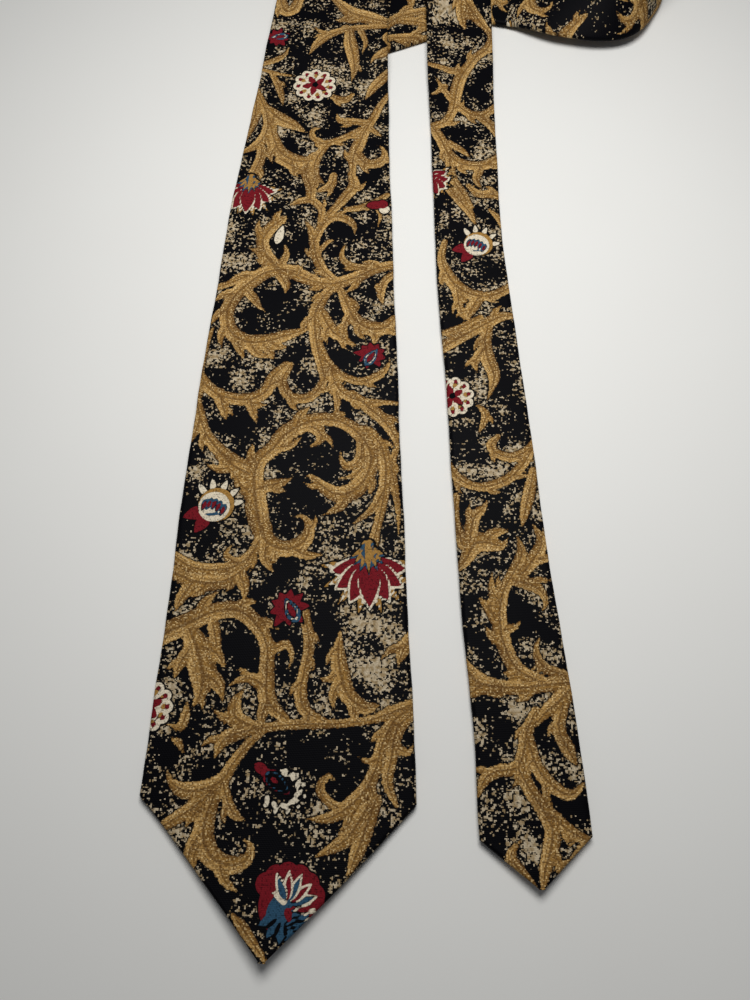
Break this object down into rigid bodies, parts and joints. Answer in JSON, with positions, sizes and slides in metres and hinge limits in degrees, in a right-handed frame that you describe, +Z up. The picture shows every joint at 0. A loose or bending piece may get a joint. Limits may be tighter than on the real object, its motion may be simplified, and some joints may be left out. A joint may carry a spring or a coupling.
{
  "type": "necktie",
  "caption": "Necktie lying on a table, wide and narrow blades side by side, the neck band in a standing ring, with interlining, tipping and keeper loop.",
  "frame": {"origin": "centre of the footprint, on the surface the tie lies on", "axes": "+Z up from that surface; +Y from the tips toward the neck ring, along the wide blade; +X from the wide blade to the narrow blade"},
  "size_m": [0.2232, 0.5416, 0.041],
  "materials": {
    "tie_fabric": "woven scroll pattern, gold and beige on navy black, low sheen",
    "interlining": "brushed wool blend",
    "tipping": "smooth satin lining",
    "thread": "sewing thread",
    "label": "plain woven ribbon"
  },
  "bodies": {
    "root": {"care_label": "label", "front_bar_tack": "thread", "front_blade_shell": "tie_fabric", "front_interlining": "interlining", "front_neck_seam": "thread", "front_tipping": "tipping", "keeper_loop": "tie_fabric", "keeper_stitches": "thread", "neck_piece_shell": "tie_fabric", "slip_stitch": "thread", "tail_bar_tack": "thread", "tail_blade_shell": "tie_fabric", "tail_interlining": "interlining", "tail_neck_seam": "thread", "tail_tipping": "tipping"}
  },
  "joints": []
}
